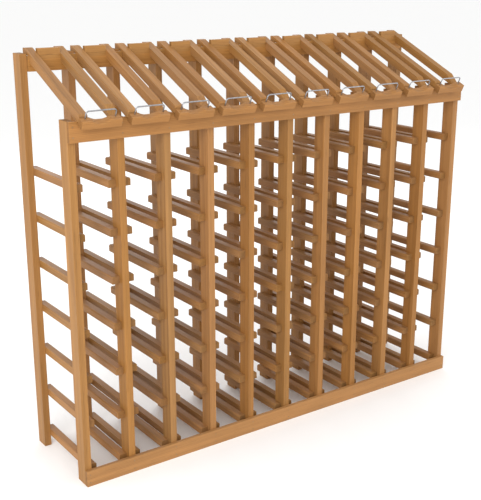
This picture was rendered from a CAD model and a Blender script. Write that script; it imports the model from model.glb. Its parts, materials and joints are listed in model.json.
import json
import math

import bpy
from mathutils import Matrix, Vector


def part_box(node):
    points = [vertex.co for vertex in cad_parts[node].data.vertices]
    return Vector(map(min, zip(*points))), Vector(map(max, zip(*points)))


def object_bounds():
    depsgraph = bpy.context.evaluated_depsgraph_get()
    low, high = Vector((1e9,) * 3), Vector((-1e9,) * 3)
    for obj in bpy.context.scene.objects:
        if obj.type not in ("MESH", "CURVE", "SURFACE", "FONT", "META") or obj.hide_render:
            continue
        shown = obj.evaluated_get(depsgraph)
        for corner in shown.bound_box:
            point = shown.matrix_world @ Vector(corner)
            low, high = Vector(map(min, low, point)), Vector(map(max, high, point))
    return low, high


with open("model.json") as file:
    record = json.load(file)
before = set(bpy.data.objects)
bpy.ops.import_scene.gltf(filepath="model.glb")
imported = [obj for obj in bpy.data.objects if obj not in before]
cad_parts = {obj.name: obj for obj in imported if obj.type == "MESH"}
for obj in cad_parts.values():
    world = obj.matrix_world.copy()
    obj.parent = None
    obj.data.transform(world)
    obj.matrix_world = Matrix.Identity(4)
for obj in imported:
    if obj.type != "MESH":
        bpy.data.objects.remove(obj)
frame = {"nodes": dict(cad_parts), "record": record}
cad_low, cad_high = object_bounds()

# ---------------------------------------------------------------- sizes, in metres
ROWS = 7
RAIL_HEIGHT = 0.0165
CRADLE_SLOPE = math.radians(24.3)
EDGE_RADIUS = 0.0004
WORN_WIDTH = 0.0016
WELD_DISTANCE = 0.00001

first_post_low, first_post_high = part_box("front_post_01")
second_post_low, second_post_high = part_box("front_post_02")
back_post_low, back_post_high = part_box("back_post_01")
rails_low, rails_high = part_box("bottle_rails_01")
POST_WIDTH = first_post_high.x - first_post_low.x
PITCH = second_post_low.x - first_post_low.x
ROW_PITCH = (rails_high.z - rails_low.z - RAIL_HEIGHT) / (ROWS - 1)
POST_MIDDLE = first_post_low.x + POST_WIDTH / 2
FRONT_FACE = first_post_low.y
BACK_FACE = back_post_high.y

# Sides of the space that one board has to itself, where it isn't a pitch.
HALF_DEPTH_CELL = 1.0
ENDLESS_CELL = 10.0
BOARD_CELL = 0.09

# ---------------------------------------------------------------- wood grain, in metres and cycles per metre
RING_GAP = 0.0034
RING_CONTRAST = 0.52
PITH_NEAREST = (0.03, 0.04, 0.0)
PITH_SPREAD = (0.16, 0.11, 0.0)
RING_WANDER = (0.016, 0.016, 0.0)
RING_TAPER = (1.0, 1.0, 0.012)
BOARD_SHIFT = (0.9, 0.9, 3.0)
WANDER_SCALE = (7.0, 7.0, 0.9)
STREAK_SCALE = (95.0, 95.0, 1.6)
FIBRE_SCALE = (900.0, 900.0, 16.0)
BLOTCH_SCALE = (22.0, 22.0, 5.0)
PORE_SCALE = (520.0, 520.0, 22.0)
RUB_SCALE = (60.0, 60.0, 25.0)
WOOD_BUMP = 0.00025
WOOD_IOR = 1.46

# ---------------------------------------------------------------- drawn steel, in metres and cycles per metre
WIRE_SCRATCH_SCALE = (90.0, 900.0, 900.0)
BRAD_SCRATCH_SCALE = (900.0, 900.0, 900.0)
DULLING_SCALE = 220.0
STEEL_BUMP = 0.0001

# ---------------------------------------------------------------- colours, linear
EARLY_WOOD = (0.335, 0.163, 0.055, 1.0)
LATE_WOOD = (0.212, 0.091, 0.026, 1.0)
WORN_EDGE = (0.385, 0.215, 0.080, 1.0)
STEEL = (0.42, 0.42, 0.44, 1.0)
STEEL_DARK = (0.20, 0.20, 0.21, 1.0)
TARNISH = (0.30, 0.23, 0.15, 1.0)
TARNISH_DARK = (0.16, 0.12, 0.08, 1.0)
FLOOR_COLOUR = (0.96, 0.96, 0.955, 1.0)
WHITE = (1.0, 1.0, 1.0, 1.0)

# ---------------------------------------------------------------- studio, in metres, watts and degrees
FLOOR_HALF = 60.0
WORLD_STRENGTH = 1.0
CAMERA_PLACE = (-1.2836, -1.7350, 1.0539)
CAMERA_PITCH = 73.307
CAMERA_TURN = -35.127
CAMERA_LENS = 66.96
CAMERA_SENSOR = 36.0
LAMPS = (
    ("key", (-2.5, -2.0, 1.7), 2.2, 80.0),
    ("fill", (2.6, -2.2, 1.3), 2.5, 22.0),
    ("back", (1.2, 2.8, 2.0), 2.5, 24.0),
)


# ---------------------------------------------------------------- node helpers
def add_node(tree, kind, inputs=None, **settings):
    """A new shader node, with its settings and its inputs given as values or as other nodes' outputs."""
    node = tree.nodes.new(kind)
    for name, value in settings.items():
        setattr(node, name, value)
    for key, value in (inputs or {}).items():
        if isinstance(value, bpy.types.NodeSocket):
            tree.links.new(value, node.inputs[key])
        else:
            node.inputs[key].default_value = value
    return node


def maths(tree, operation, a, b=0.0, clamp=False):
    """The result of one Math node."""
    node = add_node(tree, "ShaderNodeMath", {0: a, 1: b}, operation=operation, use_clamp=clamp)
    return node.outputs[0]


def vector_maths(tree, operation, a, b=(0.0, 0.0, 0.0)):
    """The result of one Vector Math node."""
    node = add_node(tree, "ShaderNodeVectorMath", {0: a, 1: b}, operation=operation)
    return node.outputs[0]


def spread(tree, value, low, high, new_low=0.0, new_high=1.0):
    """A value between low and high, spread over new_low to new_high and held there."""
    inputs = {0: value, 1: low, 2: high, 3: new_low, 4: new_high}
    node = add_node(tree, "ShaderNodeMapRange", inputs, clamp=True)
    return node.outputs[0]


def blend_colours(tree, factor, a, b):
    """Two colours mixed by a factor."""
    node = add_node(tree, "ShaderNodeMix", data_type="RGBA")
    for socket, value in ((node.inputs[0], factor), (node.inputs[6], a), (node.inputs[7], b)):
        if isinstance(value, bpy.types.NodeSocket):
            tree.links.new(value, socket)
        else:
            socket.default_value = value
    return node.outputs[2]


def noise(tree, vector, stretch, detail=2.0, roughness=0.5):
    """Noise between 0 and 1, with stretch cycles per metre along each axis."""
    scaled = vector_maths(tree, "MULTIPLY", vector, stretch)
    inputs = {"Vector": scaled, "Scale": 1.0, "Detail": detail, "Roughness": roughness}
    return add_node(tree, "ShaderNodeTexNoise", inputs).outputs[0]


def roughened(tree, strength, distance, height):
    """A normal roughened by a height."""
    inputs = {"Strength": strength, "Distance": distance, "Height": height}
    return add_node(tree, "ShaderNodeBump", inputs).outputs[0]


def new_material(name):
    """An empty material with its output node: (material, tree, output)."""
    material = bpy.data.materials.new(name)
    material.use_nodes = True
    tree = material.node_tree
    tree.nodes.clear()
    output = tree.nodes.new("ShaderNodeOutputMaterial")
    return material, tree, output


# ---------------------------------------------------------------- wood
# Each turn lays the grain along the local Z axis.
GRAIN_UP = (0.0, 0.0, 0.0)
GRAIN_DEEP = (math.radians(90), 0.0, 0.0)
GRAIN_WIDE = (0.0, math.radians(90), 0.0)
GRAIN_SLOPED = (math.radians(90) - CRADLE_SLOPE, 0.0, 0.0)


def grain_space(tree, turn, cell, start, seed):
    """Coordinates whose Z runs along the grain, with and without each board's own shift, and three random
    values for each board."""
    place = add_node(tree, "ShaderNodeTexCoord").outputs["Object"]
    moved = vector_maths(tree, "SUBTRACT", place, start)
    index = vector_maths(tree, "FLOOR", vector_maths(tree, "DIVIDE", moved, cell))
    index = vector_maths(tree, "ADD", index, (seed, seed * 0.7, seed * 1.3))
    lot = add_node(tree, "ShaderNodeTexWhiteNoise", {"Vector": index}).outputs["Color"]
    turned = add_node(
        tree,
        "ShaderNodeVectorRotate",
        {"Vector": place, "Rotation": turn},
        rotation_type="EULER_XYZ",
        invert=False,
    ).outputs[0]
    shift = vector_maths(tree, "MULTIPLY", lot, BOARD_SHIFT)
    return vector_maths(tree, "ADD", turned, shift), turned, lot


def ring_bands(tree, local, turned, lot):
    """Growth rings round a pith that lies outside the board: 0 in the early wood, 1 in the late wood."""
    wander = vector_maths(tree, "MULTIPLY", local, WANDER_SCALE)
    drift = add_node(
        tree, "ShaderNodeTexNoise", {"Vector": wander, "Scale": 1.0, "Detail": 2.0}
    ).outputs["Color"]
    drift = vector_maths(tree, "SUBTRACT", drift, (0.5, 0.5, 0.5))
    drift = vector_maths(tree, "MULTIPLY", drift, RING_WANDER)
    pith = vector_maths(tree, "MULTIPLY", lot, PITH_SPREAD)
    pith = vector_maths(tree, "ADD", pith, PITH_NEAREST)
    flat = vector_maths(tree, "MULTIPLY", turned, RING_TAPER)
    centre = vector_maths(tree, "ADD", vector_maths(tree, "ADD", flat, pith), drift)
    radius = add_node(tree, "ShaderNodeVectorMath", {0: centre}, operation="LENGTH").outputs["Value"]
    turns = maths(tree, "DIVIDE", radius, RING_GAP)
    step = maths(tree, "FRACT", turns)
    rise = spread(tree, step, 0.25, 0.86)
    fall = spread(tree, step, 0.90, 1.0, 1.0, 0.0)
    band = maths(tree, "MULTIPLY", maths(tree, "POWER", rise, 1.8), fall)
    width = add_node(
        tree, "ShaderNodeTexWhiteNoise", {"W": maths(tree, "FLOOR", turns)}, noise_dimensions="1D"
    ).outputs["Value"]
    return maths(tree, "MULTIPLY", band, spread(tree, width, 0.0, 1.0, 0.45, 1.0))


def wood_material(name, turn, cell, start, seed, tone=1.0):
    """Oiled, golden stained softwood. turn lays the grain, cell is the size of the space one board has to
    itself and start is where the first such space begins, so that each board has its own grain and tone."""
    material, tree, output = new_material(name)
    local, turned, lot = grain_space(tree, turn, cell, start, seed)
    lots = add_node(tree, "ShaderNodeSeparateColor", {0: lot}).outputs

    rings = ring_bands(tree, local, turned, lot)
    streaks = noise(tree, local, STREAK_SCALE, 4.0, 0.6)
    fibres = noise(tree, local, FIBRE_SCALE, 3.0, 0.65)
    blotches = noise(tree, local, BLOTCH_SCALE)
    pores = spread(tree, noise(tree, local, PORE_SCALE, 1.0), 0.66, 0.74)

    late = maths(tree, "MULTIPLY", rings, RING_CONTRAST)
    colour = blend_colours(tree, late, EARLY_WOOD, LATE_WOOD)
    level = maths(tree, "MULTIPLY", spread(tree, streaks, 0.25, 0.75, 0.80, 1.16), tone)
    level = maths(tree, "MULTIPLY", level, spread(tree, fibres, 0.2, 0.8, 0.88, 1.10))
    level = maths(tree, "MULTIPLY", level, spread(tree, blotches, 0.3, 0.7, 0.93, 1.06))
    level = maths(tree, "MULTIPLY", level, spread(tree, lots[0], 0.0, 1.0, 0.93, 1.05))
    level = maths(tree, "MULTIPLY", level, spread(tree, pores, 0.0, 1.0, 1.0, 0.74))

    normal = add_node(tree, "ShaderNodeTexCoord").outputs["Normal"]
    facing = add_node(
        tree,
        "ShaderNodeVectorRotate",
        {"Vector": normal, "Rotation": turn},
        rotation_type="EULER_XYZ",
    ).outputs[0]
    along = add_node(tree, "ShaderNodeSeparateXYZ", {0: facing}).outputs[2]
    end_grain = spread(tree, maths(tree, "ABSOLUTE", along), 0.55, 0.9)
    level = maths(tree, "MULTIPLY", level, spread(tree, end_grain, 0.0, 1.0, 1.0, 0.74))

    tinted = add_node(
        tree,
        "ShaderNodeHueSaturation",
        {
            "Hue": spread(tree, lots[1], 0.0, 1.0, 0.498, 0.503),
            "Saturation": spread(tree, lots[2], 0.0, 1.0, 0.98, 1.05),
            "Value": level,
            "Color": colour,
        },
    ).outputs[0]

    true_normal = add_node(tree, "ShaderNodeNewGeometry").outputs["True Normal"]
    rounded = add_node(tree, "ShaderNodeBevel", {"Radius": WORN_WIDTH}, samples=4).outputs[0]
    match = add_node(tree, "ShaderNodeVectorMath", {0: rounded, 1: true_normal}, operation="DOT_PRODUCT")
    edge = spread(tree, match.outputs["Value"], 0.90, 0.995, 1.0, 0.0)
    rub = noise(tree, local, RUB_SCALE, 3.0)
    edge = maths(tree, "MULTIPLY", edge, spread(tree, rub, 0.35, 0.65, 0.05, 0.45))
    colour = blend_colours(tree, edge, tinted, WORN_EDGE)

    height = maths(tree, "MULTIPLY", rings, 0.5)
    height = maths(tree, "ADD", height, maths(tree, "MULTIPLY", fibres, 0.8))
    height = maths(tree, "SUBTRACT", height, maths(tree, "MULTIPLY", pores, 0.6))
    bump = roughened(tree, 0.35, WOOD_BUMP, height)

    gloss = spread(tree, fibres, 0.2, 0.8, 0.40, 0.56)
    gloss = maths(tree, "ADD", gloss, maths(tree, "MULTIPLY", end_grain, 0.2))
    gloss = maths(tree, "SUBTRACT", gloss, maths(tree, "MULTIPLY", edge, 0.12), clamp=True)
    surface = add_node(
        tree,
        "ShaderNodeBsdfPrincipled",
        {
            "Base Color": colour,
            "Roughness": gloss,
            "Normal": bump,
            "IOR": WOOD_IOR,
            "Specular IOR Level": 0.22,
        },
    )
    tree.links.new(surface.outputs[0], output.inputs["Surface"])
    return material


def steel_material(name, scratch_scale, bright, dull):
    """Drawn steel: fine scratches along the wire, dulled in places."""
    material, tree, output = new_material(name)
    place = add_node(tree, "ShaderNodeTexCoord").outputs["Object"]
    scratches = noise(tree, place, scratch_scale, 3.0, 0.6)
    dulling = noise(tree, place, (DULLING_SCALE, DULLING_SCALE, DULLING_SCALE), 3.0, 0.6)
    colour = blend_colours(tree, spread(tree, dulling, 0.35, 0.75), bright, dull)
    rough = spread(tree, scratches, 0.25, 0.75, 0.24, 0.46)
    bump = roughened(tree, 0.25, STEEL_BUMP, scratches)
    surface = add_node(
        tree,
        "ShaderNodeBsdfPrincipled",
        {"Base Color": colour, "Roughness": rough, "Normal": bump, "Metallic": 1.0},
    )
    tree.links.new(surface.outputs[0], output.inputs["Surface"])
    return material


def make_materials():
    """One material for each material slot of the record."""
    between_ladders = POST_MIDDLE - PITCH / 2
    between_rows = rails_low.z - (ROW_PITCH - RAIL_HEIGHT) / 2
    middle_depth = (FRONT_FACE + BACK_FACE) / 2
    ladder_cell = (PITCH, HALF_DEPTH_CELL, ENDLESS_CELL)
    rail_cell = (PITCH / 2, ENDLESS_CELL, ROW_PITCH)
    board_cell = (ENDLESS_CELL, ENDLESS_CELL, BOARD_CELL)
    cradle_cell = (PITCH / 2, ENDLESS_CELL, ENDLESS_CELL)
    return {
        "post_wood": wood_material(
            "post_wood", GRAIN_UP, ladder_cell, (between_ladders, middle_depth, -1.0), seed=3.0
        ),
        "rail_wood": wood_material(
            "rail_wood", GRAIN_DEEP, rail_cell, (POST_MIDDLE, -5.0, between_rows), seed=11.0, tone=0.97
        ),
        "board_wood": wood_material(
            "board_wood", GRAIN_WIDE, board_cell, (-5.0, -5.0, -0.02), seed=23.0, tone=1.1
        ),
        "cradle_wood": wood_material(
            "cradle_wood", GRAIN_SLOPED, cradle_cell, (POST_MIDDLE, -5.0, -5.0), seed=31.0
        ),
        "stop_wire": steel_material("stop_wire", WIRE_SCRATCH_SCALE, STEEL, STEEL_DARK),
        "brad_steel": steel_material("brad_steel", BRAD_SCRATCH_SCALE, TARNISH, TARNISH_DARK),
    }


# ---------------------------------------------------------------- the CAD nodes' finish
def soften_edges(piece):
    """Sanded edges: merge the imported faces, drop the triangulation, round every real corner."""
    weld = piece.modifiers.new("weld", "WELD")
    weld.merge_threshold = WELD_DISTANCE
    planar = piece.modifiers.new("planar", "DECIMATE")
    planar.decimate_type = "DISSOLVE"
    planar.angle_limit = math.radians(0.5)
    bevel = piece.modifiers.new("bevel", "BEVEL")
    bevel.width = EDGE_RADIUS
    bevel.segments = 2
    bevel.limit_method = "ANGLE"
    bevel.angle_limit = math.radians(30)
    bevel.harden_normals = True


def finish_nodes(materials):
    """Gives every CAD node its material, and every wooden one its softened edges."""
    for subpart in frame["record"]["subparts"]:
        piece = frame["nodes"][subpart["node"]]
        slot = subpart["material_slot"]
        piece.data.materials.clear()
        piece.data.materials.append(materials[slot])
        if slot.endswith("wood"):
            soften_edges(piece)


# ---------------------------------------------------------------- floor, light and camera
def make_floor():
    """A plain pale studio floor."""
    mesh = bpy.data.meshes.new("studio_floor")
    signs = ((-1, -1), (1, -1), (1, 1), (-1, 1))
    corners = [(FLOOR_HALF * across, FLOOR_HALF * deep, 0) for across, deep in signs]
    mesh.from_pydata(corners, [], [(0, 1, 2, 3)])
    floor = bpy.data.objects.new("studio_floor", mesh)
    bpy.context.scene.collection.objects.link(floor)
    material, tree, output = new_material("studio_floor")
    surface = add_node(
        tree, "ShaderNodeBsdfPrincipled", {"Base Color": FLOOR_COLOUR, "Roughness": 0.9}
    )
    tree.links.new(surface.outputs[0], output.inputs["Surface"])
    mesh.materials.append(material)


def make_light(name, place, aim, size, power):
    """A square area light at place, turned towards aim."""
    lamp = bpy.data.lights.new(name, "AREA")
    lamp.shape = "SQUARE"
    lamp.size = size
    lamp.energy = power
    light = bpy.data.objects.new(name, lamp)
    light.location = place
    light.rotation_euler = (Vector(aim) - Vector(place)).to_track_quat("-Z", "Y").to_euler()
    bpy.context.scene.collection.objects.link(light)


def make_world():
    """Even white light from all round."""
    world = bpy.data.worlds.new("studio")
    world.use_nodes = True
    background = world.node_tree.nodes["Background"]
    background.inputs["Color"].default_value = WHITE
    background.inputs["Strength"].default_value = WORLD_STRENGTH
    bpy.context.scene.world = world


def make_camera():
    """The reference view: from the front left, a little above the rack."""
    lens = bpy.data.cameras.new("camera")
    lens.lens = CAMERA_LENS
    lens.sensor_width = CAMERA_SENSOR
    lens.clip_start = 0.05
    lens.clip_end = 100.0
    camera = bpy.data.objects.new("camera", lens)
    camera.location = CAMERA_PLACE
    camera.rotation_euler = (math.radians(CAMERA_PITCH), 0.0, math.radians(CAMERA_TURN))
    bpy.context.scene.collection.objects.link(camera)
    bpy.context.scene.camera = camera


def make_studio():
    """Floor, soft lights, camera and plain colour handling."""
    middle = (0.0, 0.0, (cad_low.z + cad_high.z) / 2)
    make_floor()
    make_world()
    for name, place, size, power in LAMPS:
        make_light(name, place, middle, size, power)
    make_camera()
    bpy.context.scene.view_settings.view_transform = "Standard"


finish_nodes(make_materials())
make_studio()
